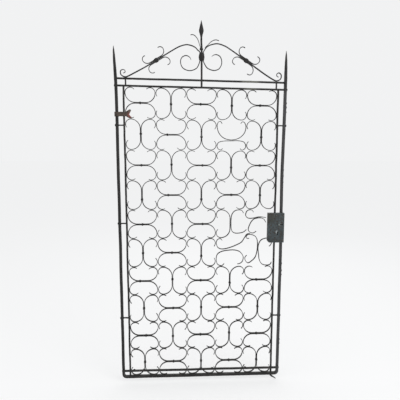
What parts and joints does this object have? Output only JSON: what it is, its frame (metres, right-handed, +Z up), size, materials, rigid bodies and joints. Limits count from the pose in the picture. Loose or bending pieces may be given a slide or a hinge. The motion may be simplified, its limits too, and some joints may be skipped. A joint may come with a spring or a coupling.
{
  "type": "garden gate",
  "caption": "Tall wrought-iron garden gate leaf with paired C-scrolls, a scrolled pediment with a spear, a turning wall anchor and a rim lock.",
  "frame": {"origin": "middle of the bottom rail's underside, in the middle plane of the outer frame's bars", "axes": "+X across the gate towards the lock side, -Y out of the front face, +Z up"},
  "size_m": [0.8981, 0.0568, 1.9593],
  "materials": {
    "frame_iron": "black-painted forged bar, matt and lightly rusted",
    "scroll_iron": "thin forged strip, blackened, rust at the touching points",
    "pediment_iron": "blackened forged bar",
    "anchor_iron": "bare forged iron with brown rust and brick dust",
    "lock_paint": "worn slate grey-green paint on sheet steel",
    "bolt_steel": "dull steel, dark in the corners",
    "worn_knob": "steel rubbed bright",
    "spring_steel": "spring steel",
    "fixing_steel": "darkened steel screws"
  },
  "bodies": {
    "anchor": {"hinge_anchor": "anchor_iron"},
    "leaf": {"outer_stile_left": "frame_iron", "outer_stile_right": "frame_iron", "bottom_rail": "frame_iron", "inner_stile_left": "frame_iron", "inner_stile_right": "frame_iron", "top_rail_lower": "frame_iron", "top_rail_upper": "frame_iron", "cross_rail": "frame_iron", "cross_rail_rivets": "frame_iron", "tie_bars_left": "frame_iron", "tie_bars_right": "frame_iron", "post_left": "frame_iron", "post_right": "frame_iron", "foot_spur": "frame_iron", "centre_shaft": "pediment_iron", "ball_collar": "pediment_iron", "shaft_ring": "pediment_iron", "slope_bar_left": "pediment_iron", "slope_bar_right": "pediment_iron", "cluster_scroll_left_upper": "pediment_iron", "cluster_scroll_left_lower": "pediment_iron", "cluster_scroll_right_upper": "pediment_iron", "cluster_scroll_right_lower": "pediment_iron", "cluster_collar_left": "pediment_iron", "cluster_collar_right": "pediment_iron", "leaf_curl_left": "pediment_iron", "leaf_curl_right": "pediment_iron", "scroll_row_1": "scroll_iron", "scroll_row_2": "scroll_iron", "scroll_row_3": "scroll_iron", "scroll_row_4": "scroll_iron", "scroll_row_5": "scroll_iron", "scroll_row_6": "scroll_iron", "scroll_row_7": "scroll_iron", "scroll_row_8": "scroll_iron", "scroll_row_9": "scroll_iron", "scroll_row_10": "scroll_iron", "scroll_collars": "scroll_iron", "bent_scrolls_row_2": "scroll_iron", "bent_scroll_row_5_left": "scroll_iron", "bent_scrolls_row_5_right": "scroll_iron", "bent_scrolls_row_6_left": "scroll_iron", "bent_scrolls_row_6_right": "scroll_iron", "lock_back_plate": "lock_paint", "lock_case": "lock_paint", "bolt_guide": "bolt_steel", "bolt_springs": "spring_steel", "lock_screws": "fixing_steel", "lock_spacers": "fixing_steel"},
    "slide_bolt": {"slide_bolt": "bolt_steel", "slide_knob": "worn_knob"},
    "dead_bolt": {"dead_bolt": "bolt_steel"}
  },
  "joints": [
    {"name": "gate_swing", "type": "hinge", "parent": "anchor", "child": "leaf", "pos_m": [-0.437, 0, 1.464], "axis": [0, 0, 1], "range_deg": [0, 270]},
    {"name": "slide_bolt_throw", "type": "slide", "parent": "leaf", "child": "slide_bolt", "axis": [1, 0, 0], "range_m": [0, 0.016]},
    {"name": "dead_bolt_throw", "type": "slide", "parent": "leaf", "child": "dead_bolt", "axis": [1, 0, 0], "range_m": [0, 0.016]}
  ]
}
